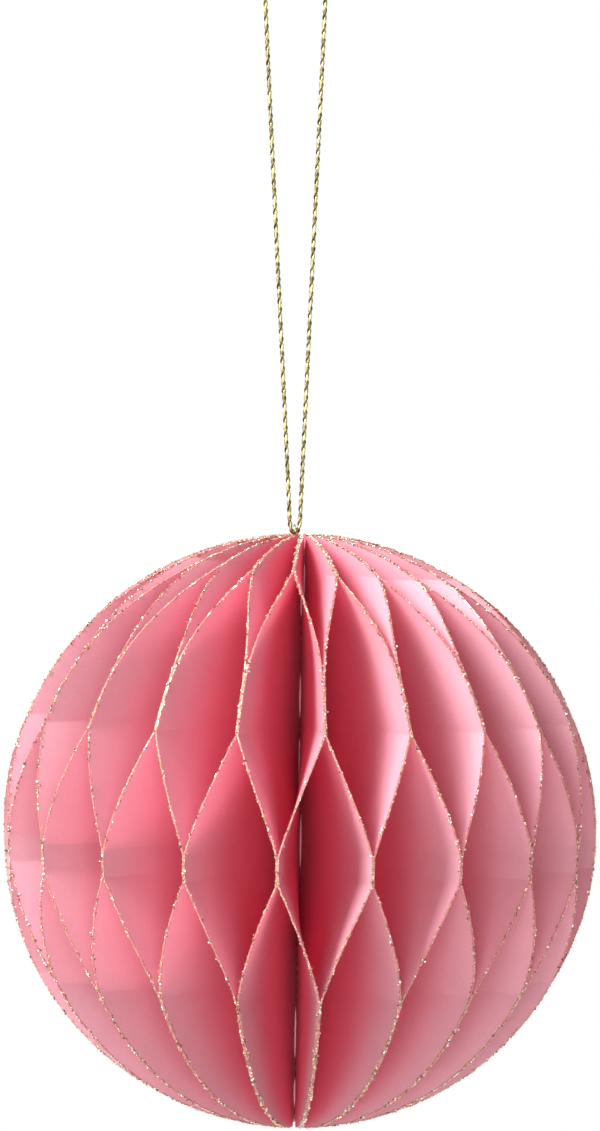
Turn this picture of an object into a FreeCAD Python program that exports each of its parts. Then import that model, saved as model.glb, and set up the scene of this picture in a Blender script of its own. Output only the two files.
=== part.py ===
import FreeCAD, Part
import math
import os

# Honeycomb paper ball on a hanging cord
# Forty half-round paper leaves stand round one axis and are glued in turn to the
# neighbour on either side, so that their edges draw rows of long cells.
# The frame has its origin at the ball's centre, +Z along the spine towards the cord,
# and the leaf edges that face the viewer towards -Y.

doc = FreeCAD.newDocument("honeycomb_ball")

# Driving dimensions in millimetres, angles in degrees
DIMENSIONS = [
    ("ball_radius", 50.0),
    ("leaf_count", 40),
    ("first_seam_angle", -4.0),
    ("paper", 0.25),
    ("spine_gap", 0.025),
    ("station_angle", 6.5),
    ("crown_glue_depth", 5.5),
    ("upper_glue_top", 25.5),
    ("upper_glue_low", 19.25),
    ("middle_glue_top", -0.6),
    ("middle_glue_low", -5.1),
    ("lower_glue_top", -24.5),
    ("crown_curl", 2.6),
    ("side_curl", 1.15),
    ("tip_drop", 0.2),
    ("dimple_radius", 3.0),
    ("dimple_depth", 2.3),
    ("thread_radius", 0.5),
    ("loop_wire_radius", 0.3),
    ("loop_radius", 0.95),
    ("loop_rise", 1.3),
    ("seat_gap", 0.1),
    ("stop_rim", 0.8),
    ("stop_end_radius", 1.4),
    ("stop_foot", 0.3),
    ("cord_diameter", 0.8),
    ("cord_play", 0.05),
    ("cord_rise", 90.7),
    ("hook_arc_radius", 3.7),
    ("tie_half_length", 1.4),
    ("tie_radius", 1.1),
    ("tie_taper", 0.35),
    ("tail_length", 3.0),
    ("tail_spread", 0.45),
]

sheet = doc.addObject("Spreadsheet::Sheet", "Dimensions")
for row, (alias, value) in enumerate(DIMENSIONS, start=1):
    sheet.set(f"A{row}", alias)
    sheet.set(f"B{row}", str(value))
    sheet.setAlias(f"B{row}", alias)
doc.recompute()


def size(alias):
    return float(getattr(sheet, alias))


def name_part(obj, label):
    obj.Label = label
    parts.append(obj)
    return obj


parts = []


# Values that follow from the sheet
def wedge_half_angle():
    return math.pi / round(size("leaf_count"))


def core_radius():
    """Hollow round which the spines of all leaves just find room side by side."""
    return (size("paper") + size("spine_gap")) / (2 * math.tan(wedge_half_angle()))


def tip_height():
    return size("ball_radius") - size("tip_drop")


def dimple_floor():
    return tip_height() - size("dimple_depth")


def crown_glue_low():
    """Below this height the leaves that are glued over the top pole part."""
    return size("ball_radius") - size("crown_glue_depth")


def spine_edge_radius(height):
    """The straight spine edge, opening to a small dimple at both poles."""
    share = (abs(height) - dimple_floor()) / size("dimple_depth")
    return core_radius() + max(0.0, share) * (size("dimple_radius") - core_radius())


def rim_radius(height):
    return math.sqrt(size("ball_radius") ** 2 - height**2)


# Leaves
def lean_in_transition(share, curl):
    """From +1 at one glued strip to -1 at the next, bent sharply where it starts."""
    return 1.0 - 2.0 * (1.0 - (1.0 - share) ** curl)


def leaf_stretches():
    """Stretches from pole to pole as top, bottom, lean at the top, lean at the bottom, curl."""
    crown, side = size("crown_curl"), size("side_curl")
    return [
        (tip_height(), dimple_floor(), 1, 1, side),
        (dimple_floor(), crown_glue_low(), 1, 1, side),
        (crown_glue_low(), size("upper_glue_top"), 1, -1, crown),
        (size("upper_glue_top"), size("upper_glue_low"), -1, -1, side),
        (size("upper_glue_low"), size("middle_glue_top"), -1, 1, side),
        (size("middle_glue_top"), size("middle_glue_low"), 1, 1, side),
        (size("middle_glue_low"), size("lower_glue_top"), 1, -1, side),
        (size("lower_glue_top"), -dimple_floor(), -1, -1, side),
        (-dimple_floor(), -tip_height(), -1, -1, side),
    ]


def leaf_stations():
    """Heights down the leaf with its lean, which is +1 or -1 where it is glued."""
    radius = size("ball_radius")
    step = math.radians(size("station_angle"))
    stations = [(tip_height(), 1.0)]
    for top, bottom, lean_top, lean_bottom, curl in leaf_stretches():
        high, low = math.asin(top / radius), math.asin(bottom / radius)
        count = max(1, math.ceil((high - low) / step))
        for index in range(1, count + 1):
            share = index / count
            height = radius * math.sin(high + share * (low - high))
            lean = lean_top
            if lean_top != lean_bottom:
                lean = lean_top * lean_in_transition(share, curl)
            stations.append((height, lean))
    return stations


def leaf_point(radius, height, lean, face):
    """Point on one face of a leaf that stands on the +X side of its own wedge."""
    angle = lean * wedge_half_angle()
    shift = (face - lean) * size("paper") / 2
    x = radius * math.cos(angle) - shift * math.sin(angle)
    y = radius * math.sin(angle) + shift * math.cos(angle)
    return FreeCAD.Vector(x, y, height)


def triangle(a, b, c):
    return Part.Face(Part.makePolygon([a, b, c, a]))


def leaf_solid():
    """One sheet of paper as flat facets between the stations, the same on both faces."""
    spine, rim = {}, {}
    for face in (-1, 1):
        spine[face] = [
            leaf_point(spine_edge_radius(height), height, lean, face)
            for height, lean in leaf_stations()
        ]
        rim[face] = [
            leaf_point(rim_radius(height), height, lean, face)
            for height, lean in leaf_stations()
        ]
    facets = []
    last = len(spine[1]) - 1
    for i in range(last):
        for face in (-1, 1):
            facets.append(triangle(spine[face][i], rim[face][i], rim[face][i + 1]))
            facets.append(triangle(spine[face][i], rim[face][i + 1], spine[face][i + 1]))
        for edge in (spine, rim):
            facets.append(triangle(edge[-1][i], edge[1][i], edge[1][i + 1]))
            facets.append(triangle(edge[-1][i], edge[1][i + 1], edge[-1][i + 1]))
    for i in (0, last):
        facets.append(triangle(spine[-1][i], spine[1][i], rim[1][i]))
        facets.append(triangle(spine[-1][i], rim[1][i], rim[-1][i]))
    solid = Part.Solid(Part.Shell(facets))
    if solid.Volume < 0:
        solid.reverse()
    return solid


def add_leaves():
    """Left and right leaves in turn, so that every seam has a mirrored pair."""
    left = leaf_solid()
    right = left.mirror(FreeCAD.Vector(0, 0, 0), FreeCAD.Vector(0, 1, 0))
    count = round(size("leaf_count"))
    wedge = 360.0 / count
    half_wedge = wedge / 2
    viewer = -90.0
    axis = FreeCAD.Vector(0, 0, 1)
    for index in range(count):
        leaf = doc.addObject("Part::Feature", f"leaf_{index + 1:02d}")
        leaf.Shape = (left if index % 2 == 0 else right).copy()
        angle = viewer + size("first_seam_angle") - half_wedge + index * wedge
        leaf.Placement = FreeCAD.Placement(FreeCAD.Vector(0, 0, 0), FreeCAD.Rotation(axis, angle))
        name_part(leaf, f"leaf_{index + 1:02d}")


# Spine thread with the small loop at its top, and the stop knot that carries the leaves
TIP = "(Dimensions.ball_radius - Dimensions.tip_drop)"
FLOOR = f"({TIP} - Dimensions.dimple_depth)"
CORE = (
    "((Dimensions.paper + Dimensions.spine_gap)"
    " / (2 * tan(180 deg / Dimensions.leaf_count)))"
)
SLOPE = f"((Dimensions.dimple_radius - {CORE}) / Dimensions.dimple_depth)"
LOOP_TOP = "(Dimensions.ball_radius + Dimensions.loop_rise)"
LOOP_CENTRE = f"({LOOP_TOP} - Dimensions.loop_radius)"
LOOP_FOOT = f"({LOOP_CENTRE} - Dimensions.loop_radius)"
STOP_FOOT = f"(-{TIP} + Dimensions.stop_foot)"
STOP_TOP = f"(-{FLOOR} + Dimensions.stop_foot)"
STOP_HEIGHT = f"({STOP_TOP} - {STOP_FOOT})"
STOP_RADIUS = (
    f"({CORE} + {SLOPE} * ({STOP_HEIGHT} - Dimensions.stop_rim) / 2 - Dimensions.seat_gap)"
)
STOP_NECK = "(Dimensions.thread_radius * 2)"
STOP_CONE = f"(({STOP_HEIGHT} - Dimensions.stop_rim) / 2)"
LOOP_WIRE_SIDES = 8


def add_primitive(kind, name, **expressions):
    obj = doc.addObject(kind, name)
    for key, expression in expressions.items():
        obj.setExpression(key.replace("_", "."), expression)
    return obj


def add_spine_thread():
    strand = add_primitive(
        "Part::Cylinder",
        "thread_strand",
        Radius="Dimensions.thread_radius",
        Height=f"{LOOP_FOOT} - {STOP_TOP}",
        Placement_Base_z=STOP_TOP,
    )
    section = add_primitive(
        "Part::RegularPolygon",
        "loop_section",
        Circumradius="Dimensions.loop_wire_radius",
        Placement_Base_z=f"{LOOP_CENTRE} + Dimensions.loop_radius",
    )
    section.Polygon = LOOP_WIRE_SIDES
    section.Placement.Rotation = FreeCAD.Rotation(FreeCAD.Vector(1, 0, 0), 90)
    loop = add_primitive("Part::Revolution", "thread_loop", Base_z=LOOP_CENTRE)
    loop.Source = section
    loop.Axis = FreeCAD.Vector(1, 0, 0)
    loop.Angle = 360
    loop.Solid = True
    thread = doc.addObject("Part::MultiFuse", "spine_thread")
    thread.Shapes = [strand, loop]
    name_part(thread, "spine_thread")


def add_stop_knot():
    neck = add_primitive(
        "Part::Cone",
        "stop_shoulder",
        Radius1=STOP_RADIUS,
        Radius2=STOP_NECK,
        Height=STOP_CONE,
        Placement_Base_z=f"{STOP_TOP} - {STOP_CONE}",
    )
    rim = add_primitive(
        "Part::Cylinder",
        "stop_rim",
        Radius=STOP_RADIUS,
        Height="Dimensions.stop_rim",
        Placement_Base_z=f"{STOP_FOOT} + {STOP_CONE}",
    )
    foot = add_primitive(
        "Part::Cone",
        "stop_foot",
        Radius1="Dimensions.stop_end_radius",
        Radius2=STOP_RADIUS,
        Height=STOP_CONE,
        Placement_Base_z=STOP_FOOT,
    )
    knot = doc.addObject("Part::MultiFuse", "stop_knot")
    knot.Shapes = [neck, rim, foot]
    name_part(knot, "stop_knot")


# Hanging cord: round the small loop, up both sides and over to the knot that ties it
def cord_radius():
    return size("cord_diameter") / 2


def loop_top():
    return size("ball_radius") + size("loop_rise")


def hook_height():
    return loop_top() + size("cord_rise")


def bight_radius():
    return size("loop_wire_radius") + size("cord_play") + cord_radius()


def strand_direction(side):
    """Direction of the straight strand that is tangent to the bight and to the arc on top."""
    across = side * size("tie_half_length")
    up = size("cord_rise")
    reach = math.hypot(across, up)
    centre_line = math.atan2(across, up)
    opening = math.asin((size("hook_arc_radius") - bight_radius()) / reach)
    return centre_line + side * opening


def cord_wire():
    bight = FreeCAD.Vector(0, 0, loop_top())
    ends, feet, heads, arcs = {}, {}, {}, {}
    for side in (-1, 1):
        lean = strand_direction(side)
        out = FreeCAD.Vector(side * math.cos(lean), 0, -side * math.sin(lean))
        turn = side * (math.pi / 2) + lean
        middle = FreeCAD.Vector(math.sin(turn / 2), 0, math.cos(turn / 2))
        centre = FreeCAD.Vector(side * size("tie_half_length"), 0, hook_height())
        feet[side] = bight + out * bight_radius()
        heads[side] = centre + out * size("hook_arc_radius")
        arcs[side] = centre + middle * size("hook_arc_radius")
        ends[side] = centre + FreeCAD.Vector(0, 0, size("hook_arc_radius"))
    low = bight - FreeCAD.Vector(0, 0, bight_radius())
    edges = [
        Part.Arc(ends[-1], arcs[-1], heads[-1]).toShape(),
        Part.LineSegment(heads[-1], feet[-1]).toShape(),
        Part.Arc(feet[-1], low, feet[1]).toShape(),
        Part.LineSegment(feet[1], heads[1]).toShape(),
        Part.Arc(heads[1], arcs[1], ends[1]).toShape(),
    ]
    for edge in edges:
        round_bend = edge.Curve.TypeId == "Part::GeomCircle"
        bend = f"bend radius {edge.Curve.Radius:.2f}" if round_bend else "straight"
        print(f"cord stretch {edge.Length:.2f} mm, {bend}")
    return Part.Wire(edges)


def add_hanging_cord():
    wire = cord_wire()
    start = wire.Edges[0].Vertexes[0].Point
    tangent = FreeCAD.Vector(-1, 0, 0)
    section = Part.Wire(Part.makeCircle(cord_radius(), start, tangent))
    cord = doc.addObject("Part::Feature", "hanging_cord")
    cord.Shape = wire.makePipeShell([section], True, False)
    expected = math.pi * cord_radius() ** 2 * wire.Length
    print(f"cord length {wire.Length:.2f} mm, volume {cord.Shape.Volume:.3f} of {expected:.3f} mm3")
    name_part(cord, "hanging_cord")


TIE_AXIS = (
    f"({LOOP_TOP} + Dimensions.cord_rise + Dimensions.hook_arc_radius)"
)


def add_cord_tie():
    """The knot at the top of the loop, with the two cut ends standing up from it."""
    barrel = add_primitive(
        "Part::Cylinder",
        "tie_barrel",
        Radius="Dimensions.tie_radius",
        Height="2 * (Dimensions.tie_half_length - Dimensions.tie_taper)",
        Placement_Base_x="Dimensions.tie_taper - Dimensions.tie_half_length",
        Placement_Base_z=TIE_AXIS,
    )
    tapers = []
    for side, name in ((-1, "tie_left"), (1, "tie_right")):
        taper = add_primitive(
            "Part::Cone",
            name,
            Radius1="Dimensions.tie_radius",
            Radius2="Dimensions.tie_radius - Dimensions.tie_taper",
            Height="Dimensions.tie_taper",
            Placement_Base_x=f"{side} * (Dimensions.tie_half_length - Dimensions.tie_taper)",
            Placement_Base_z=TIE_AXIS,
        )
        taper.Placement.Rotation = FreeCAD.Rotation(FreeCAD.Vector(0, 1, 0), side * 90)
        tapers.append(taper)
    barrel.Placement.Rotation = FreeCAD.Rotation(FreeCAD.Vector(0, 1, 0), 90)
    tails = []
    for side, name in ((-1, "tail_left"), (1, "tail_right")):
        tail = add_primitive(
            "Part::Cylinder",
            name,
            Radius="Dimensions.cord_diameter / 2",
            Height="Dimensions.tie_radius + Dimensions.tail_length",
            Placement_Base_x=f"{side} * Dimensions.tail_spread",
            Placement_Base_z=TIE_AXIS,
        )
        tails.append(tail)
    tie = doc.addObject("Part::MultiFuse", "cord_tie")
    tie.Shapes = [barrel] + tapers + tails
    name_part(tie, "cord_tie")


def check_and_write():
    doc.recompute()
    for obj in doc.Objects:
        if "Invalid" in obj.State or "Error" in obj.State:
            raise RuntimeError(f"{obj.Name} did not build: {obj.State}")
    for obj in parts:
        if obj.Shape.isNull() or not obj.Shape.isValid():
            raise RuntimeError(f"{obj.Label} has no valid shape")
    os.makedirs("parts", exist_ok=True)
    for obj in parts:
        obj.Shape.exportStep(f"parts/{obj.Label}.step")
    print(f"{len(parts)} sub-parts written")


add_leaves()
add_spine_thread()
add_stop_knot()
add_hanging_cord()
add_cord_tie()
check_and_write()
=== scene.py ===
import math
import random

import bpy
import numpy as np
from bpy.props import FloatProperty, FloatVectorProperty, IntProperty, PointerProperty
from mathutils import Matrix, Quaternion, Vector


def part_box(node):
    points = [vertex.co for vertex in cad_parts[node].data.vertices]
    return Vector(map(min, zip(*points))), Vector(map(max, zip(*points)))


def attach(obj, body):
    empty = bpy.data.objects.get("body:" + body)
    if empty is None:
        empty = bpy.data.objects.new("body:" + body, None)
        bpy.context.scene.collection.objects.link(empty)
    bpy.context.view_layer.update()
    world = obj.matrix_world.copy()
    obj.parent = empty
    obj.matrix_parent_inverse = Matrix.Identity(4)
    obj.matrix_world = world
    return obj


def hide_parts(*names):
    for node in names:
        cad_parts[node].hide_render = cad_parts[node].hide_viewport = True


bl_info = {
    "name": "Honeycomb Paper Ball",
    "version": (1, 0, 0),
    "blender": (4, 5, 0),
    "location": "View3D > Sidebar > Paper Ball",
    "description": "Dresses a honeycomb paper ball with bent leaves, glitter edges and a twisted cord",
    "category": "Object",
}

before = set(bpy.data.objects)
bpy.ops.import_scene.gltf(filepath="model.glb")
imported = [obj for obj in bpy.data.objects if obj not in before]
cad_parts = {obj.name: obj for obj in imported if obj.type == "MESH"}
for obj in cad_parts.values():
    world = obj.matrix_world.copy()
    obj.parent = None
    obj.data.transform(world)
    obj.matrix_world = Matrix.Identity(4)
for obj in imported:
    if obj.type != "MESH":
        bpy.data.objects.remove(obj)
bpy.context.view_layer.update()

MM = 0.001
BODY = "root"
VIEWER = math.radians(-90.0)


def farthest_vertex(node):
    """Distance of the node's farthest vertex from the ball's centre."""
    return max(vertex.co.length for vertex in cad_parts[node].data.vertices)


def nearest_to_axis(node):
    """Distance of the node's nearest vertex from the spine's axis."""
    return min(vertex.co.xy.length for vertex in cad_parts[node].data.vertices)


# Sizes read from the frame
LEAF_NODES = sorted(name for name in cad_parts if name.startswith("leaf_"))
BALL_RADIUS = farthest_vertex(LEAF_NODES[0])
TIP_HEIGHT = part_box(LEAF_NODES[0])[1].z
SPINE_RADIUS = nearest_to_axis(LEAF_NODES[0])
LOOP_LOW, LOOP_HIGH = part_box("spine_thread")
TIE_LOW, TIE_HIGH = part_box("cord_tie")
STOP_LOW, STOP_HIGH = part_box("stop_knot")


# Settings that a user would change
def length(name, description, default):
    return FloatProperty(name=name, description=description, default=default, unit="LENGTH", precision=5)


def colour(name, description, default):
    return FloatVectorProperty(
        name=name, description=description, default=default, subtype="COLOR", size=3, min=0, max=1
    )


def plain(name, description, default):
    return FloatProperty(name=name, description=description, default=default)


def angle(name, description, default_degrees):
    return FloatProperty(
        name=name, description=description, default=math.radians(default_degrees), subtype="ANGLE"
    )


class LeafSettings(bpy.types.PropertyGroup):
    """Glued strips, bending and paper of the leaves."""

    first_seam: angle("First seam", "Direction of the first glued seam, from the viewer", -4.0)
    paper: length("Paper", "Thickness of the sheet", 0.25 * MM)
    crown_low: length("Crown glue", "Lower end of the strip over the top pole", 44.5 * MM)
    upper_top: length("Upper glue top", "Upper end of the strip above the middle", 25.5 * MM)
    upper_low: length("Upper glue low", "Lower end of the strip above the middle", 19.25 * MM)
    middle_top: length("Middle glue top", "Upper end of the strip at the middle", -0.6 * MM)
    middle_low: length("Middle glue low", "Lower end of the strip at the middle", -5.1 * MM)
    lower_top: length("Lower glue top", "Upper end of the strip over the lower pole", -24.5 * MM)
    dimple_radius: length("Dimple", "Radius of the dimple at each pole", 3.0 * MM)
    dimple_depth: length("Dimple depth", "Depth of the dimple at each pole", 2.3 * MM)
    crown_curl: plain("Crown curl", "How early a leaf leaves its seam under the crown", 2.6)
    side_curl: plain("Side curl", "How early a leaf leaves its other seams", 1.15)
    crown_tilt: length("Crown tilt", "Rise of the crown seams towards the left", 1.7 * MM)
    seam_jitter: length("Seam jitter", "Hand-made unevenness of each seam's height", 0.3 * MM)
    crease_blur: length("Crease blur", "Half height over which a fold rounds off near the spine", 4.0 * MM)
    row_height: length("Row height", "Height of one row of the leaf's mesh", 1.1 * MM)
    columns: IntProperty(name="Columns", description="Columns of the leaf's mesh", default=18, min=4)
    fold_row: length("Fold row", "Distance of the rows that keep a fold crisp", 0.28 * MM)
    colour: colour("Paper colour", "Pink of the paper where it is in the open", (0.86, 0.52, 0.60))
    # Painted shade: the inner colour is the paper's pink darkened and deepened inside the cells, standing in
    # for shade and for light bounced between the leaves.
    inner: colour("Inner colour", "Pink of the paper inside the cells", (0.81, 0.285, 0.375))
    soaked: colour("Soaked colour", "Tint of the light that comes through a leaf", (0.83, 0.35, 0.43))
    # Painted glow: emission deep in the cells that stands in for light bounced between and through the
    # leaves; no lamp is there.
    glow: colour("Deep glow", "Light that soaks through the leaves, deep in the cells", (0.14, 0.008, 0.019))


class GlitterSettings(bpy.types.PropertyGroup):
    """Chips of foil along the round edge of every leaf."""

    spacing: length("Spacing", "Mean distance between chips along an edge", 0.12 * MM)
    small: length("Smallest chip", "Radius of the smallest chip", 0.09 * MM)
    large: length("Largest chip", "Radius of the largest chip", 0.29 * MM)
    spread: length("Spread", "How far chips lie from the middle of the edge", 0.24 * MM)
    # The glue band's dark rose-brown is partly the dusty glue's own tone and partly painted shade between the
    # chips.
    band: length("Glue band", "Width of the dusty glue band on the faces", 0.3 * MM)


class CordSettings(bpy.types.PropertyGroup):
    """Twisted metallic cord."""

    diameter: length("Diameter", "Diameter over both plies", 0.8 * MM)
    twist: length("Twist", "Length of one turn of the plies", 2.5 * MM)
    bright: colour("Foil", "Colour of the foil ply", (0.74, 0.65, 0.31))
    dark: colour("Core ply", "Colour of the darker ply", (0.17, 0.125, 0.05))


class StageSettings(bpy.types.PropertyGroup):
    """Camera, lamps and backdrop."""

    distance: length("Distance", "Camera distance from the ball's centre", 1.25)
    elevation: angle("Elevation", "Camera height above the ball's centre", 4.9)
    roll: angle("Roll", "Turn of the camera about its line of sight", 0.8)
    key_power: FloatProperty(name="Key", description="Power of the key lamp", default=52.5, unit="POWER")
    fill_power: FloatProperty(name="Fill", description="Power of the fill lamp", default=8.5, unit="POWER")
    sky: plain("Sky", "Strength of the even light from all round", 0.41)


def deselect_all():
    if bpy.context.object and bpy.context.object.mode != "OBJECT":
        bpy.ops.object.mode_set(mode="OBJECT")
    bpy.ops.object.select_all(action="DESELECT")


def take_new(name):
    """The object that the last operator added, with a name of its own."""
    piece = bpy.context.object
    piece.name = name
    piece.data.name = name
    return piece


def place_in_mesh(piece):
    deselect_all()
    piece.select_set(True)
    bpy.context.view_layer.objects.active = piece
    bpy.ops.object.transform_apply(location=True, rotation=True, scale=True)


def give(piece, material):
    piece.data.materials.clear()
    piece.data.materials.append(material)


# Shader maths
class Shade:
    """One socket of a material's tree, on which Python's operators add nodes."""

    def __init__(self, tree, socket):
        self.tree = tree
        self.socket = socket

    def node(self, kind, settings=None, inputs=None, output=0):
        """Adds a node: settings are its properties, inputs its sockets by name or number."""
        made = self.tree.nodes.new(kind)
        for key, value in (settings or {}).items():
            setattr(made, key, value)
        for key, value in (inputs or {}).items():
            if isinstance(value, Shade):
                self.tree.links.new(value.socket, made.inputs[key])
            else:
                made.inputs[key].default_value = value
        return Shade(self.tree, made.outputs[output])

    def math(self, operation, first, second=0.0):
        return self.node("ShaderNodeMath", {"operation": operation}, {0: first, 1: second})

    def __add__(self, other):
        return self.math("ADD", self, other)

    __radd__ = __add__

    def __sub__(self, other):
        return self.math("SUBTRACT", self, other)

    def __rsub__(self, other):
        return self.math("SUBTRACT", other, self)

    def __mul__(self, other):
        return self.math("MULTIPLY", self, other)

    __rmul__ = __mul__

    def __truediv__(self, other):
        return self.math("DIVIDE", self, other)

    def __gt__(self, other):
        return self.math("GREATER_THAN", self, other)

    def root(self):
        return self.math("SQRT", self)

    def ramp(self, low, high, to_low=0.0, to_high=1.0):
        """Smooth step of this value from to_low at low to to_high at high."""
        return self.node(
            "ShaderNodeMapRange",
            {"interpolation_type": "SMOOTHSTEP"},
            {"Value": self, "From Min": low, "From Max": high, "To Min": to_low, "To Max": to_high},
        )

    def mix_colours(self, first, second):
        """This value mixes two colours."""
        return self.node(
            "ShaderNodeMix", {"data_type": "RGBA"}, {0: self, 6: opaque(first), 7: opaque(second)}, 2
        )

    def times(self, other):
        """Product of two colours."""
        return self.node(
            "ShaderNodeMix", {"data_type": "RGBA", "blend_type": "MULTIPLY"}, {0: 1.0, 6: self, 7: other}, 2
        )

    def noise(self, scale, detail=2.0, roughness=0.5):
        """Noise at this point."""
        return self.node(
            "ShaderNodeTexNoise",
            None,
            {"Vector": self, "Scale": scale, "Detail": detail, "Roughness": roughness},
        )

    def cells(self, scale, output=0):
        """Cell pattern at this point: output 0 is the distance, 1 the cell's colour."""
        return self.node("ShaderNodeTexVoronoi", None, {"Vector": self, "Scale": scale}, output)

    def bump(self, strength, distance):
        """Bump whose height is this value."""
        return self.node("ShaderNodeBump", None, {"Height": self, "Strength": strength, "Distance": distance})


def opaque(value):
    return value if isinstance(value, Shade) else (value[0], value[1], value[2], 1.0)


def new_material(name):
    """A material with its tree's root, its principled shader and its output."""
    material = bpy.data.materials.new(name)
    material.use_nodes = True
    tree = material.node_tree
    shader = tree.nodes["Principled BSDF"]
    output = tree.nodes["Material Output"]
    return material, Shade(tree, shader.outputs[0]), shader, output


def feed(root, shader, socket, value):
    if isinstance(value, Shade):
        root.tree.links.new(value.socket, shader.inputs[socket])
    else:
        shader.inputs[socket].default_value = value


def paper_material(leaf, glitter):
    """Paper that lets light through, pale in the open and darker, deeper pink inside the cells by painted
    shade, with a painted glow deep in them, gold at its round edge.
    """
    material, root, shader, output = new_material("pink_paper")
    place = root.node("ShaderNodeTexCoord", output=3)
    distance = root.node("ShaderNodeVectorMath", {"operation": "LENGTH"}, {0: place}, 1)
    mottle = place.noise(140.0, 3.0, 0.55)
    fibre = place.noise(2600.0, 3.0, 0.65)
    x, y, z = (place.node("ShaderNodeSeparateXYZ", None, {0: place}, part) for part in range(3))
    reach = ((x * x + y * y) / (BALL_RADIUS**2 - z * z)).root()
    # Painted shade: the pink turns to the inner colour towards the spine, where the cells are deep.
    painted_shade_share = reach.ramp(0.52, 0.98, 1.0, 0.0)
    pink = painted_shade_share.mix_colours(leaf.colour, leaf.inner)
    cloudy = mottle.ramp(0.3, 0.7).mix_colours((0.95, 0.95, 0.95), (1.0, 1.0, 1.0))
    fibrous = fibre.ramp(0.35, 0.75).mix_colours((1.0, 1.0, 1.0), (0.93, 0.88, 0.89))
    pink = pink.times(cloudy).times(fibrous)
    ragged = place.noise(1500.0, 2.0) * glitter.band
    grains = root.node("ShaderNodeSeparateColor", None, {0: place.cells(5200.0, 1)})
    edge = distance > (BALL_RADIUS - ragged)
    # Dark rose-brown band at the round edge: partly the dusty glue's own tone, partly painted shade between
    # the chips.
    pink = edge.mix_colours(pink, (0.66, 0.32, 0.32))
    speck = edge * (grains > 0.6)
    gold = grains.ramp(0.6, 1.0).mix_colours((0.42, 0.22, 0.11), (0.95, 0.78, 0.50))
    feed(root, shader, "Base Color", speck.mix_colours(pink, gold))
    feed(root, shader, "Metallic", speck * 0.75)
    feed(root, shader, "Roughness", speck * -0.42 + 0.8)
    shader.inputs["Specular IOR Level"].default_value = 0.1
    feed(root, shader, "Coat Weight", reach.ramp(0.7, 0.98, 0.0, 0.68))
    shader.inputs["Coat Roughness"].default_value = 0.5
    # Painted glow: the deep cells give off the glow colour as emission, strongest deep inside and fading
    # towards the round edge.
    painted_glow_share = reach.ramp(0.35, 1.15, 1.0, 0.0) * reach.ramp(0.0, 0.5, 0.15, 1.0)
    feed(root, shader, "Emission Color", painted_glow_share.mix_colours((0, 0, 0), leaf.glow))
    shader.inputs["Emission Strength"].default_value = 1.0
    feed(root, shader, "Normal", (fibre + mottle * 0.6).bump(0.25, 0.00006))
    through = root.node("ShaderNodeBsdfTranslucent", None, {"Color": opaque(leaf.soaked)})
    mixed = root.node("ShaderNodeMixShader", None, {0: 0.47, 1: root, 2: through})
    root.tree.links.new(mixed.socket, output.inputs["Surface"])
    material.cycles.emission_sampling = "NONE"
    return material


def glitter_material():
    """Foil chips, each in the tint that its attribute gives."""
    material, root, shader, _ = new_material("gold_glitter")
    tint = root.node("ShaderNodeVertexColor", {"layer_name": "tint"})
    feed(root, shader, "Base Color", tint)
    shader.inputs["Metallic"].default_value = 0.85
    shader.inputs["Roughness"].default_value = 0.28
    return material


def yarn_material(name, tone, roughness):
    """Metallic yarn: fine filaments with bright and dull stretches."""
    material, root, shader, _ = new_material(name)
    place = root.node("ShaderNodeTexCoord", output=3)
    drawn_out = root.node("ShaderNodeMapping", None, {"Vector": place, "Scale": (1.0, 1.0, 0.4)})
    patch = drawn_out.noise(2100.0, 2.0)
    strands = drawn_out.cells(7000.0)
    base = Vector(tone)
    mixed = patch.ramp(0.36, 0.62).mix_colours(base * 0.3, base * 1.15)
    mixed = strands.ramp(0.2, 0.7, 0.0, 0.35).mix_colours(mixed, base * 0.4)
    feed(root, shader, "Base Color", mixed)
    shader.inputs["Metallic"].default_value = 0.9
    feed(root, shader, "Roughness", patch.ramp(0.3, 0.7, roughness, roughness + 0.15))
    feed(root, shader, "Normal", strands.bump(0.35, 0.00005))
    return material


# Leaves
RIM_CROWDING = 1.4
WALL_SHARE = 0.98
SMOOTH_ANGLE = math.radians(40.0)


def seam_random(row, seam):
    """Steady unevenness of one seam in one row, from -1 to 1."""
    return random.Random(f"{row} {seam}").uniform(-1.0, 1.0)


def seam_shift(settings, row, seam, direction):
    """How much higher this seam is glued than its row, with the crown's row tilted a little."""
    tilt = settings.crown_tilt if row == "crown" else 0.0
    return -tilt * math.sin(direction - VIEWER) + settings.seam_jitter * seam_random(row, seam)


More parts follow.
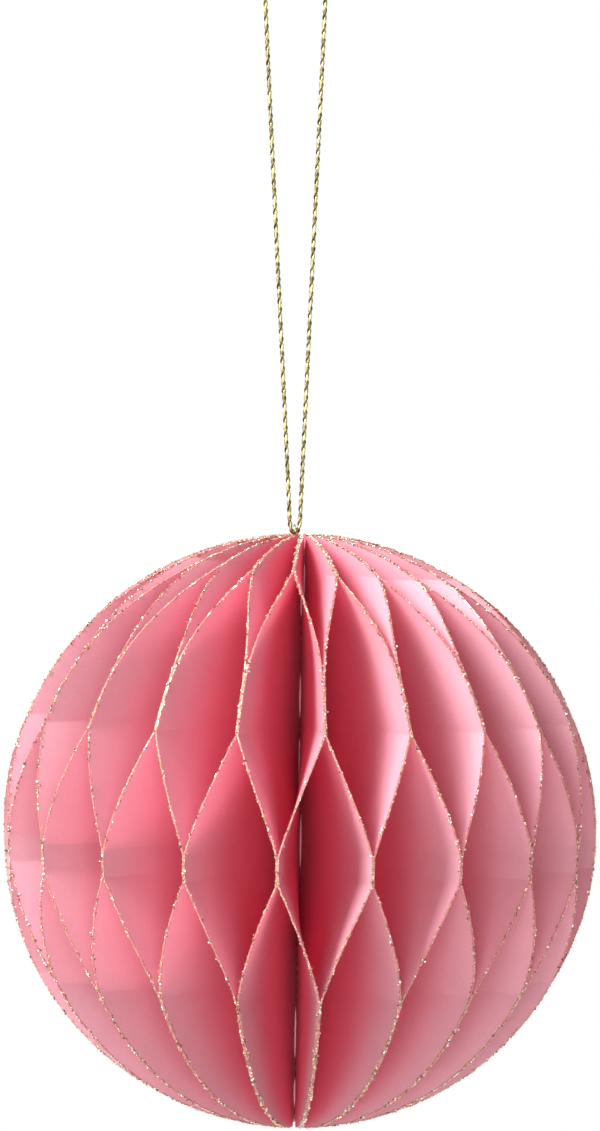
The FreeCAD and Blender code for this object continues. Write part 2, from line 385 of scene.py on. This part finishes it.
class Leaf:
    """The bent sheet of one leaf: where it is glued, and where its surface runs."""

    def __init__(self, settings, index):
        self.settings = settings
        count = len(LEAF_NODES)
        self.half_wedge = math.pi / count
        self.side = 1 if index % 2 == 0 else -1
        self.direction = VIEWER + settings.first_seam + (2 * index - 1) * self.half_wedge
        crown_direction = self.direction + self.side * self.half_wedge
        other_direction = self.direction - self.side * self.half_wedge
        pair = index // 2
        other = ((index + 1) // 2) % (count // 2)
        self.stretches = self.place_stretches(pair, other, crown_direction, other_direction)

    def place_stretches(self, pair, other, crown_direction, other_direction):
        """Top, bottom, lean at both and curl of every stretch."""
        s = self.settings
        crown = s.crown_low + seam_shift(s, "crown", pair, crown_direction)
        upper = seam_shift(s, "upper", other, other_direction)
        middle = seam_shift(s, "middle", pair, crown_direction)
        lower = s.lower_top + seam_shift(s, "lower", other, other_direction)
        floor = TIP_HEIGHT - s.dimple_depth
        return [
            (TIP_HEIGHT, floor, 1, 1, s.side_curl),
            (floor, crown, 1, 1, s.side_curl),
            (crown, s.upper_top + upper, 1, -1, s.crown_curl),
            (s.upper_top + upper, s.upper_low + upper, -1, -1, s.side_curl),
            (s.upper_low + upper, s.middle_top + middle, -1, 1, s.side_curl),
            (s.middle_top + middle, s.middle_low + middle, 1, 1, s.side_curl),
            (s.middle_low + middle, lower, 1, -1, s.side_curl),
            (lower, -floor, -1, -1, s.side_curl),
            (-floor, -TIP_HEIGHT, -1, -1, s.side_curl),
        ]

    def row_heights(self):
        """Heights of the mesh's rows: evenly spread over the outline within each stretch."""
        s = self.settings
        floor = TIP_HEIGHT - s.dimple_depth
        nominal = [
            TIP_HEIGHT, floor, s.crown_low, s.upper_top, s.upper_low,
            s.middle_top, s.middle_low, s.lower_top, -floor, -TIP_HEIGHT,
        ]
        rows = [TIP_HEIGHT]
        for (top, bottom, *_), high, low in zip(self.stretches, nominal, nominal[1:]):
            arc = BALL_RADIUS * (math.asin(high / BALL_RADIUS) - math.asin(low / BALL_RADIUS))
            steps = max(1, round((arc - 2 * s.fold_row) / s.row_height))
            shares = np.linspace(s.fold_row / arc, 1.0 - s.fold_row / arc, steps + 1)
            start, end = math.asin(top / BALL_RADIUS), math.asin(bottom / BALL_RADIUS)
            rows += [BALL_RADIUS * math.sin(start + (end - start) * share) for share in (*shares, 1.0)]
        return np.array(rows)

    def sharp_lean(self, heights):
        """Lean from -1 to 1 with sharp folds at the ends of the glued strips."""
        lean = np.zeros_like(heights)
        for top, bottom, lean_top, lean_bottom, curl in self.stretches:
            inside = (heights <= top) & (heights >= bottom)
            share = np.clip((top - heights) / (top - bottom), 0.0, 1.0)
            value = np.full_like(heights, float(lean_top))
            if lean_top != lean_bottom:
                value = lean_top * (1.0 - 2.0 * (1.0 - (1.0 - share) ** curl))
            lean = np.where(inside, value, lean)
        return np.where(heights > TIP_HEIGHT, 1.0, np.where(heights < -TIP_HEIGHT, -1.0, lean))

    def lean(self, heights, shares):
        """Folds are sharp at the round edge and round off towards the spine."""
        blur = self.settings.crease_blur * (1.0 - smooth_step(0.35, 0.85, shares))
        total = np.zeros_like(heights)
        weights = ((-1.0, 1.0), (-0.5, 2.0), (0.0, 3.0), (0.5, 2.0), (1.0, 1.0))
        for step, weight in weights:
            total += weight * self.sharp_lean(np.clip(heights + step * blur, -TIP_HEIGHT, TIP_HEIGHT))
        return total / sum(weight for _, weight in weights)

    def spine_radius(self, heights):
        s = self.settings
        floor = TIP_HEIGHT - s.dimple_depth
        share = np.clip((np.abs(heights) - floor) / s.dimple_depth, 0.0, 1.0)
        return SPINE_RADIUS + share * (s.dimple_radius - SPINE_RADIUS)

    def points(self, radii, heights, offset=0.0):
        """Points of the sheet's middle, or offset metres to one side of it."""
        lean = self.side * self.lean(heights, radii / np.sqrt(BALL_RADIUS**2 - heights**2))
        turn = self.direction + lean * self.half_wedge
        shift = offset - lean * self.settings.paper / 2
        x = radii * np.cos(turn) - shift * np.sin(turn)
        y = radii * np.sin(turn) + shift * np.cos(turn)
        return np.stack([x, y, heights], axis=-1)


def smooth_step(low, high, value):
    share = np.clip((value - low) / (high - low), 0.0, 1.0)
    return share * share * (3.0 - 2.0 * share)


def build_leaf(settings, index, material):
    """A flat grid is bent into the leaf's surface, then given the paper's thickness."""
    leaf = Leaf(settings, index)
    heights = leaf.row_heights()
    deselect_all()
    bpy.ops.mesh.primitive_grid_add(
        x_subdivisions=settings.columns, y_subdivisions=len(heights) - 1, size=2.0, location=(0, 0, 0)
    )
    piece = take_new(f"paper_{LEAF_NODES[index]}")
    mesh = piece.data
    flat = np.zeros(len(mesh.vertices) * 3)
    mesh.vertices.foreach_get("co", flat)
    flat = flat.reshape(-1, 3)
    across = (flat[:, 0] + 1.0) / 2.0
    row = np.rint((1.0 - flat[:, 1]) / 2.0 * (len(heights) - 1)).astype(int)
    height = heights[row]
    inner = leaf.spine_radius(height)
    outer = np.sqrt(BALL_RADIUS**2 - height**2)
    share = 1.0 - (1.0 - across) ** RIM_CROWDING
    bent = leaf.points(inner + (outer - inner) * share, height)
    mesh.vertices.foreach_set("co", bent.ravel())
    mesh.update()
    bpy.ops.object.modifier_add(type="SOLIDIFY")
    wall = piece.modifiers[-1]
    wall.thickness = settings.paper * WALL_SHARE
    wall.offset = 0.0
    bpy.ops.object.modifier_apply(modifier=wall.name)
    bpy.ops.object.mode_set(mode="EDIT")
    bpy.ops.mesh.select_all(action="SELECT")
    bpy.ops.mesh.normals_make_consistent(inside=False)
    bpy.ops.object.mode_set(mode="OBJECT")
    bpy.ops.object.shade_smooth_by_angle(angle=SMOOTH_ANGLE)
    give(piece, material)
    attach(piece, BODY)
    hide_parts(LEAF_NODES[index])


class PAPERBALL_OT_leaves(bpy.types.Operator):
    """Bend the forty paper leaves between their glued strips"""

    bl_idname = "paperball.leaves"
    bl_label = "Paper Leaves"

    def execute(self, context):
        settings = context.scene.paperball_leaf
        material = paper_material(settings, context.scene.paperball_glitter)
        for index in range(len(LEAF_NODES)):
            build_leaf(settings, index, material)
        return {"FINISHED"}


# Glue
GLUE_SEED = 7
BEAD_RADIUS = 0.2 * MM
BEAD_STEPS = 10
SHORTEST_BEAD = 3.0 * MM
GLUED_HEIGHTS = {
    0: ("crown_low", "middle_top", "middle_low", None),
    1: (None, "upper_top", "upper_low", "lower_top"),
}


def glue_material():
    """Dried glue, pale and glossy."""
    material, root, shader, _ = new_material("dried_glue")
    feed(root, shader, "Base Color", (0.90, 0.42, 0.50, 1.0))
    shader.inputs["Roughness"].default_value = 0.22
    shader.inputs["Specular IOR Level"].default_value = 0.8
    return material


def open_stretches(settings, parity):
    """Heights between which two neighbouring leaves are not glued, for seams of either kind."""
    floor = TIP_HEIGHT - settings.dimple_depth
    marks = [getattr(settings, name) if name else None for name in GLUED_HEIGHTS[parity]]
    highest = floor if marks[0] is None else marks[0]
    lowest = -floor if marks[3] is None else marks[3]
    return [(highest, marks[1]), (marks[2], lowest)]


class PAPERBALL_OT_glue(bpy.types.Operator):
    """Run thin beads of dried glue down the innermost corners of the cells"""

    bl_idname = "paperball.glue"
    bl_label = "Glue Beads"

    def execute(self, context):
        settings = context.scene.paperball_leaf
        rng = random.Random(GLUE_SEED)
        curve = bpy.data.curves.new("glue_beads", "CURVE")
        curve.dimensions = "3D"
        curve.bevel_depth = BEAD_RADIUS
        curve.bevel_resolution = 1
        for corner in range(len(LEAF_NODES)):
            azimuth = VIEWER + settings.first_seam + corner * 2 * math.pi / len(LEAF_NODES)
            for top, bottom in open_stretches(settings, corner % 2):
                height = top - rng.uniform(1.5, 4.0) * MM
                while height - SHORTEST_BEAD > bottom:
                    end = max(bottom + 1.0 * MM, height - rng.uniform(5.0, 11.0) * MM)
                    add_bead(curve, azimuth, height, end, rng)
                    height = end - rng.uniform(3.0, 16.0) * MM
        piece = mesh_from_curve(curve)
        give(piece, glue_material())
        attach(piece, BODY)
        return {"FINISHED"}


def add_bead(curve, azimuth, top, bottom, rng):
    """One bead, thickest in its middle and drawn out at both ends."""
    spline = curve.splines.new("POLY")
    spline.points.add(BEAD_STEPS)
    reach = SPINE_RADIUS + rng.uniform(0.7, 1.3) * MM
    lean = rng.uniform(-0.2, 0.2) * MM
    for i, point in enumerate(spline.points):
        share = i / BEAD_STEPS
        radius = reach + lean * share
        point.co = (
            radius * math.cos(azimuth), radius * math.sin(azimuth), top + (bottom - top) * share, 1.0
        )
        point.radius = 0.15 + 0.85 * math.sin(math.pi * share) ** 0.6


def mesh_from_curve(curve):
    piece = bpy.data.objects.new(curve.name, curve)
    bpy.context.scene.collection.objects.link(piece)
    deselect_all()
    piece.select_set(True)
    bpy.context.view_layer.objects.active = piece
    bpy.ops.object.convert(target="MESH")
    bpy.ops.object.shade_smooth()
    return bpy.context.object


# Glitter
GLITTER_SEED = 1000
CHIP_TINTS = [
    ((0.90, 0.76, 0.55), 4),
    ((0.72, 0.52, 0.28), 4),
    ((0.97, 0.95, 0.92), 4),
    ((0.78, 0.40, 0.34), 3),
    ((0.14, 0.08, 0.05), 4),
    ((0.38, 0.25, 0.12), 4),
]


def chip_form():
    """Corners and faces of one chip, a flat eight-faced grain."""
    deselect_all()
    bpy.ops.mesh.primitive_uv_sphere_add(segments=4, ring_count=2, radius=1.0, location=(0, 0, 0))
    grain = bpy.context.object
    corners = np.array([vertex.co[:] for vertex in grain.data.vertices])
    faces = [tuple(face.vertices) for face in grain.data.polygons]
    bpy.data.objects.remove(grain)
    return corners, faces


def random_turn(rng):
    """A random rotation as a 3 by 3 array."""
    turn = rng.normal(size=4)
    turn /= np.linalg.norm(turn)
    w, x, y, z = turn
    return np.array([
        [1 - 2 * (y * y + z * z), 2 * (x * y - z * w), 2 * (x * z + y * w)],
        [2 * (x * y + z * w), 1 - 2 * (x * x + z * z), 2 * (y * z - x * w)],
        [2 * (x * z - y * w), 2 * (y * z + x * w), 1 - 2 * (x * x + y * y)],
    ])


def scatter_chips(leaf, settings, rng):
    """Centre, radius and tint of every chip along one leaf's round edge."""
    rim_length = BALL_RADIUS * 2 * math.asin(TIP_HEIGHT / BALL_RADIUS)
    count = int(rim_length / settings.spacing)
    turns = rng.uniform(-1.0, 1.0, count) * math.asin(TIP_HEIGHT / BALL_RADIUS)
    waves = np.sin(turns * 61.0 + rng.uniform(0, 6.3)) * np.sin(turns * 23.0 + rng.uniform(0, 6.3))
    keep = rng.uniform(size=count) < 0.72 + 0.34 * waves
    turns = turns[keep]
    heights = BALL_RADIUS * np.sin(turns)
    count = len(turns)
    aside = np.clip(rng.normal(size=count), -1.6, 1.6) * settings.spread
    half = leaf.settings.paper / 2
    on_edge = np.abs(aside) < half
    inward = np.where(on_edge, -0.05 * MM, rng.uniform(-0.05, 0.3, count) * MM)
    radii = np.sqrt(BALL_RADIUS**2 - heights**2) - inward
    beside = np.sign(aside) * (half + 0.04 * MM)
    aside = np.where(on_edge, aside, np.where(inward > 0, beside, aside))
    centres = leaf.points(radii, heights, aside)
    sizes = settings.small + (settings.large - settings.small) * rng.uniform(size=count) ** 2.6
    tints = [tint for tint, weight in CHIP_TINTS for _ in range(weight)]
    picked = np.array(tints)[rng.integers(0, len(tints), count)]
    return centres, sizes, picked


def build_glitter(leaf_settings, settings, index, form, material):
    corners, faces = form
    rng = np.random.default_rng(GLITTER_SEED + index)
    leaf = Leaf(leaf_settings, index)
    centres, sizes, tints = scatter_chips(leaf, settings, rng)
    points, polygons = [], []
    for centre, size in zip(centres, sizes):
        stretched = corners * np.array([size, size * rng.uniform(0.6, 1.0), size * rng.uniform(0.25, 0.5)])
        polygons += [tuple(len(points) + i for i in face) for face in faces]
        points += (stretched @ random_turn(rng).T + centre).tolist()
    mesh = bpy.data.meshes.new(f"glitter_{index + 1:02d}")
    mesh.from_pydata(points, [], polygons)
    tint = mesh.color_attributes.new("tint", "FLOAT_COLOR", "POINT")
    shades = np.repeat(np.hstack([tints, np.ones((len(tints), 1))]), len(corners), axis=0)
    tint.data.foreach_set("color", shades.ravel())
    piece = bpy.data.objects.new(mesh.name, mesh)
    bpy.context.scene.collection.objects.link(piece)
    give(piece, material)
    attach(piece, BODY)


class PAPERBALL_OT_glitter(bpy.types.Operator):
    """Scatter foil chips along the round edge of every leaf"""

    bl_idname = "paperball.glitter"
    bl_label = "Glitter Edges"

    def execute(self, context):
        material = glitter_material()
        form = chip_form()
        for index in range(len(LEAF_NODES)):
            build_glitter(
                context.scene.paperball_leaf, context.scene.paperball_glitter, index, form, material
            )
        return {"FINISHED"}


# Cord and threads
STEPS_PER_TURN = 12
PLY_ROUNDNESS = 2
FOIL_OFFSET, FOIL_RADIUS = 0.15, 0.32
CORE_OFFSET, CORE_RADIUS = 0.29, 0.19
THREAD_SCALE = 0.62
KNOT_POINTS = 60
KNOT_SWELL = 0.42
KNOT_HEIGHT = 145.7 * MM
TIE_REACH = (0.62 * MM, 0.45 * MM, 0.52 * MM)
STOP_SPREAD, STOP_RISE = 0.52, 0.38


def cord_route():
    """Listed points of the cord, up from the knot, round the thread loop and back."""
    return [
        Vector(point) * MM
        for point in (
            (-3.9, 0, 145.7),
            (-5.9, 0, 145.7),
            (-7.75, 0, 145.0),
            (-7.8, 0, 141.0),
            (-2.5, 0, 56.0),
            (-2.3, 0, 50.2),
            (-0.65, 0, 50.2),
            (-0.5, 0, 56.0),
            (2.5, 0, 141.0),
            (2.55, 0, 145.0),
            (0.8, 0, 145.7),
            (-1.3, 0, 145.7),
        )
    ]


def route_line(name, points, cyclic=False):
    """The smooth line of a route as points read back from its spline."""
    curve = bpy.data.curves.new(name, "CURVE")
    curve.dimensions = "3D"
    curve.resolution_u = 24
    spline = curve.splines.new("NURBS")
    spline.points.add(len(points) - 1)
    for place, point in zip(spline.points, points):
        place.co = (*point, 1.0)
    spline.use_cyclic_u = cyclic
    spline.order_u = 3
    spline.use_endpoint_u = not cyclic
    holder = bpy.data.objects.new(name, curve)
    bpy.context.scene.collection.objects.link(holder)
    bpy.context.view_layer.update()
    mesh = bpy.data.meshes.new_from_object(holder.evaluated_get(bpy.context.evaluated_depsgraph_get()))
    line = [vertex.co.copy() for vertex in mesh.vertices]
    bpy.data.meshes.remove(mesh)
    bpy.data.objects.remove(holder)
    return line


def line_length(line):
    return sum((b - a).length for a, b in zip(line, line[1:]))


def even_steps(line, step):
    """Points a fixed step apart along a line of points."""
    total = line_length(line)
    count = max(2, round(total / step))
    marks = [total * i / count for i in range(count + 1)]
    found, travelled, index = [], 0.0, 0
    for mark in marks:
        while index < len(line) - 2 and travelled + (line[index + 1] - line[index]).length < mark:
            travelled += (line[index + 1] - line[index]).length
            index += 1
        span = (line[index + 1] - line[index]).length
        share = min(1.0, (mark - travelled) / span) if span > 0 else 0.0
        found.append(line[index].lerp(line[index + 1], share))
    return found


def ply_line(line, offset, turn_length, phase):
    """A helix of one ply round the line, carried along without twisting of its own."""
    normal = (line[1] - line[0]).orthogonal().normalized()
    ply, travelled = [], 0.0
    for i, point in enumerate(line):
        before, after = line[max(0, i - 1)], line[min(len(line) - 1, i + 1)]
        tangent = (after - before).normalized()
        normal = (normal - tangent * normal.dot(tangent)).normalized()
        side = tangent.cross(normal)
        if i:
            travelled += (point - line[i - 1]).length
        turn = phase + 2 * math.pi * travelled / turn_length
        ply.append(point + (normal * math.cos(turn) + side * math.sin(turn)) * offset)
    return ply


def ply_piece(name, line, radius, material):
    """One ply as a closed round tube along its line."""
    curve = bpy.data.curves.new(name, "CURVE")
    curve.dimensions = "3D"
    curve.bevel_depth = radius
    curve.bevel_resolution = PLY_ROUNDNESS
    curve.use_fill_caps = True
    spline = curve.splines.new("POLY")
    spline.points.add(len(line) - 1)
    for place, point in zip(spline.points, line):
        place.co = (*point, 1.0)
    piece = mesh_from_curve(curve)
    give(piece, material)
    return piece


def join_pieces(name, pieces):
    deselect_all()
    for piece in pieces:
        piece.select_set(True)
    bpy.context.view_layer.objects.active = pieces[0]
    bpy.ops.object.join()
    joined = bpy.context.object
    joined.name = name
    joined.data.name = name
    return joined


def twisted_cord(name, line, cord, scale, materials):
    """A bright foil ply laid round a thinner dark one."""
    bright, dark = materials
    width = cord.diameter * scale
    turn = cord.twist * scale
    steps = even_steps(line, turn / STEPS_PER_TURN)
    foil = ply_line(steps, width * FOIL_OFFSET, turn, 0.0)
    core = ply_line(steps, width * CORE_OFFSET, turn, math.pi)
    plies = [
        ply_piece(f"{name}_foil", foil, width * FOIL_RADIUS, bright),
        ply_piece(f"{name}_core", core, width * CORE_RADIUS, dark),
    ]
    return join_pieces(name, plies)


def yarns(context):
    """The two yarn materials, made once and found again by name."""
    cord = context.scene.paperball_cord
    bright = bpy.data.materials.get("foil_yarn") or yarn_material("foil_yarn", cord.bright, 0.3)
    dark = bpy.data.materials.get("dark_yarn") or yarn_material("dark_yarn", cord.dark, 0.45)
    return bright, dark


class PAPERBALL_OT_cord(bpy.types.Operator):
    """Lay the hanging cord round the thread loop and up to its knot"""

    bl_idname = "paperball.cord"
    bl_label = "Hanging Cord"

    def execute(self, context):
        cord = context.scene.paperball_cord
        line = route_line("cord_route", cord_route())
        piece = twisted_cord("gold_cord", line, cord, 1.0, yarns(context))
        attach(piece, BODY)
        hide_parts("hanging_cord")
        line_length(line)
        return {"FINISHED"}


class PAPERBALL_OT_thread(bpy.types.Operator):
    """Lay the spine thread through the hollow core, with its small loop over the top pole"""

    bl_idname = "paperball.thread"
    bl_label = "Spine Thread"

    def execute(self, context):
        cord = context.scene.paperball_cord
        wire = (LOOP_HIGH.y - LOOP_LOW.y) * 0.12
        reach = (LOOP_HIGH.y - LOOP_LOW.y) / 2 - wire
        top = LOOP_HIGH.z - wire
        low = STOP_HIGH.z
        points = [
            Vector((0, -0.3 * MM, low)),
            Vector((0, -0.35 * MM, low * 0.5)),
            Vector((0, -0.3 * MM, 0.0)),
            Vector((0, -0.35 * MM, top - 6.0 * MM)),
            Vector((-0.6 * MM, -0.4 * MM, top - 2.6 * MM)),
            Vector((-1.1 * MM, -reach * 1.15, top - 1.5 * MM)),
            Vector((-1.5 * MM, -reach * 0.75, top + 0.12 * MM)),
            Vector((-1.5 * MM, reach * 0.75, top + 0.12 * MM)),
            Vector((-1.1 * MM, reach * 1.15, top - 1.5 * MM)),
            Vector((-0.6 * MM, 0.4 * MM, top - 2.6 * MM)),
            Vector((0, 0.35 * MM, top - 6.0 * MM)),
            Vector((0, 0.3 * MM, 0.0)),
            Vector((0, 0.35 * MM, low * 0.5)),
            Vector((0, 0.3 * MM, low)),
        ]
        line = route_line("thread_route", points)
        piece = twisted_cord("loop_thread", line, cord, THREAD_SCALE, yarns(context))
        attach(piece, BODY)
        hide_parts("spine_thread")
        return {"FINISHED"}


def trefoil(centre, across, deep, high):
    """Points of a pulled-tight overhand knot about a centre."""
    lobes, turns = 2, 3
    points = []
    for i in range(KNOT_POINTS):
        t = 2 * math.pi * i / KNOT_POINTS
        ring = 1.0 + KNOT_SWELL * math.cos(turns * t)
        points.append(
            centre
            + Vector(
                (
                    across * ring * math.cos(lobes * t),
                    deep * ring * math.sin(lobes * t),
                    high * math.sin(turns * t),
                )
            )
        )
    return points


class PAPERBALL_OT_tie(bpy.types.Operator):
    """Tie the knot that closes the cord loop, with its two short ends"""

    bl_idname = "paperball.tie"
    bl_label = "Cord Knot"

    def execute(self, context):
        cord = context.scene.paperball_cord
        centre = (TIE_LOW + TIE_HIGH) / 2
        centre.z = KNOT_HEIGHT
        knot = route_line("tie_route", trefoil(centre, *TIE_REACH), cyclic=True)
        knot.append(knot[0].copy())
        pieces = [twisted_cord("tied_knot_body", knot, cord, 0.9, yarns(context))]
        for side in (-1, 1):
            tail = route_line(
                f"tail_route_{side}",
                [
                    centre + Vector((side * 0.2 * MM, 0, 0.2 * MM)),
                    centre + Vector((side * 0.45 * MM, side * 0.1 * MM, 1.4 * MM)),
                    centre + Vector((side * 0.55 * MM, side * 0.2 * MM, 2.6 * MM)),
                    Vector((side * 0.5 * MM, side * 0.1 * MM, TIE_HIGH.z - 0.1 * MM)),
                ],
            )
            pieces.append(twisted_cord(f"tied_tail_{side}", tail, cord, 0.95, yarns(context)))
        piece = join_pieces("tied_knot", pieces)
        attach(piece, BODY)
        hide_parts("cord_tie")
        return {"FINISHED"}


class PAPERBALL_OT_stop(bpy.types.Operator):
    """Tie the stop knot in the dimple under the ball"""

    bl_idname = "paperball.stop"
    bl_label = "Stop Knot"

    def execute(self, context):
        cord = context.scene.paperball_cord
        centre = (STOP_LOW + STOP_HIGH) / 2
        reach = (STOP_HIGH.x - STOP_LOW.x) / 2
        knot = route_line(
            "stop_route",
            trefoil(centre, reach * STOP_SPREAD, reach * STOP_SPREAD, reach * STOP_RISE),
            cyclic=True,
        )
        knot.append(knot[0].copy())
        piece = twisted_cord("tied_stop", knot, cord, 0.95, yarns(context))
        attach(piece, BODY)
        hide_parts("stop_knot")
        return {"FINISHED"}


# Stage
PHOTO_WIDTH = 600
PHOTO_HEIGHT = 1131
BALL_CENTRE_X = 299.3
BALL_CENTRE_Y = 830.4
BALL_OUTLINE = 296.5
SENSOR = 36.0
KEY_PLACE = (-0.95, -0.50, 1.04)
KEY_WIDTH = 0.7
FILL_PLACE = (-0.1, -1.2, -0.05)
FILL_WIDTH = 0.8
FLOOR_WIDTH = 6.0
FLOOR_HEIGHT = -0.5


def aim(obj, target, roll=0.0):
    view = (Vector(target) - obj.location).to_track_quat("-Z", "Y")
    obj.rotation_euler = (view @ Quaternion((0, 0, 1), roll)).to_euler()


def add_camera(settings):
    """The photograph's view: the camera looks at what fills the middle of the frame."""
    data = bpy.data.cameras.new("photo_camera")
    camera = bpy.data.objects.new("photo_camera", data)
    bpy.context.scene.collection.objects.link(camera)
    tilt, distance = settings.elevation, settings.distance
    camera.location = (0, -distance * math.cos(tilt), distance * math.sin(tilt))
    per_pixel = BALL_RADIUS / (BALL_OUTLINE * math.sqrt(1 - (BALL_RADIUS / distance) ** 2))
    aside = (PHOTO_WIDTH / 2 - BALL_CENTRE_X) * per_pixel
    above = (BALL_CENTRE_Y - PHOTO_HEIGHT / 2) * per_pixel
    level = Vector((0, math.sin(tilt), math.cos(tilt)))
    right = Vector((1, 0, 0)) * math.cos(settings.roll) + level * math.sin(settings.roll)
    up = level * math.cos(settings.roll) - Vector((1, 0, 0)) * math.sin(settings.roll)
    aim(camera, right * aside + up * above, settings.roll)
    data.sensor_fit = "VERTICAL"
    data.sensor_height = SENSOR
    data.sensor_width = SENSOR * PHOTO_WIDTH / PHOTO_HEIGHT
    data.lens = SENSOR * distance / (PHOTO_HEIGHT * per_pixel)
    data.clip_start = 0.01
    bpy.context.scene.camera = camera


def add_lamp(name, place, width, power):
    """A square area lamp that faces the ball."""
    data = bpy.data.lights.new(name, "AREA")
    data.shape = "RECTANGLE"
    data.size = width
    data.size_y = width
    data.energy = power
    lamp = bpy.data.objects.new(name, data)
    lamp.location = place
    bpy.context.scene.collection.objects.link(lamp)
    aim(lamp, (0, 0, 0))


def stage_material():
    """Pale plain surface that the camera sees as white."""
    material, root, shader, output = new_material("pale_stage")
    feed(root, shader, "Base Color", (0.8, 0.79, 0.78, 1.0))
    shader.inputs["Roughness"].default_value = 0.9
    seen = root.node("ShaderNodeLightPath")
    gloss = root.node("ShaderNodeLightPath", output=3)
    clear = root.node("ShaderNodeLightPath", output=6)
    white = root.node("ShaderNodeEmission", None, {"Color": (1, 1, 1, 1), "Strength": 1.0})
    either = seen.math("MAXIMUM", seen, seen.math("MAXIMUM", gloss, clear))
    mixed = root.node("ShaderNodeMixShader", None, {0: either, 1: root, 2: white})
    root.tree.links.new(mixed.socket, output.inputs["Surface"])
    return material


def build_world(strength):
    world = bpy.data.worlds.new("even_light")
    world.use_nodes = True
    tree = world.node_tree
    background = tree.nodes["Background"]
    root = Shade(tree, background.outputs[0])
    seen = root.node("ShaderNodeLightPath")
    gloss = root.node("ShaderNodeLightPath", output=3)
    clear = root.node("ShaderNodeLightPath", output=6)
    either = seen.math("MAXIMUM", seen, seen.math("MAXIMUM", gloss * 0.75, clear))
    level = either * (1.0 - strength) + strength
    background.inputs["Color"].default_value = (1, 1, 1, 1)
    tree.links.new(level.socket, background.inputs["Strength"])
    bpy.context.scene.world = world


class PAPERBALL_OT_stage(bpy.types.Operator):
    """Set up the pale floor, the soft lamps and the photograph's camera"""

    bl_idname = "paperball.stage"
    bl_label = "Stage"

    def execute(self, context):
        settings = context.scene.paperball_stage
        deselect_all()
        bpy.ops.mesh.primitive_plane_add(size=FLOOR_WIDTH, location=(0, 0, FLOOR_HEIGHT))
        floor = take_new("pale_floor")
        place_in_mesh(floor)
        give(floor, stage_material())
        add_lamp("key_lamp", KEY_PLACE, KEY_WIDTH, settings.key_power)
        add_lamp("fill_lamp", FILL_PLACE, FILL_WIDTH, settings.fill_power)
        build_world(settings.sky)
        add_camera(settings)
        context.scene.view_settings.view_transform = "Standard"
        return {"FINISHED"}


class PAPERBALL_PT_panel(bpy.types.Panel):
    """Lists the steps in the order in which they are run"""

    bl_label = "Paper Ball"
    bl_idname = "PAPERBALL_PT_panel"
    bl_space_type = "VIEW_3D"
    bl_region_type = "UI"
    bl_category = "Paper Ball"

    def draw(self, context):
        for operator in OPERATORS:
            self.layout.operator(operator.bl_idname)


SETTINGS = {
    "paperball_leaf": LeafSettings,
    "paperball_glitter": GlitterSettings,
    "paperball_cord": CordSettings,
    "paperball_stage": StageSettings,
}
OPERATORS = (
    PAPERBALL_OT_leaves,
    PAPERBALL_OT_glue,
    PAPERBALL_OT_glitter,
    PAPERBALL_OT_thread,
    PAPERBALL_OT_stop,
    PAPERBALL_OT_tie,
    PAPERBALL_OT_cord,
    PAPERBALL_OT_stage,
)


def register():
    for group in SETTINGS.values():
        bpy.utils.register_class(group)
    for operator in OPERATORS:
        bpy.utils.register_class(operator)
    bpy.utils.register_class(PAPERBALL_PT_panel)
    for name, group in SETTINGS.items():
        setattr(bpy.types.Scene, name, PointerProperty(type=group))


def unregister():
    for name in SETTINGS:
        delattr(bpy.types.Scene, name)
    bpy.utils.unregister_class(PAPERBALL_PT_panel)
    for operator in reversed(OPERATORS):
        bpy.utils.unregister_class(operator)
    for group in reversed(list(SETTINGS.values())):
        bpy.utils.unregister_class(group)


def main():
    register()
    bpy.ops.paperball.leaves()
    bpy.ops.paperball.glue()
    bpy.ops.paperball.glitter()
    bpy.ops.paperball.thread()
    bpy.ops.paperball.stop()
    bpy.ops.paperball.tie()
    bpy.ops.paperball.cord()
    bpy.ops.paperball.stage()


if __name__ == "__main__":
    main()
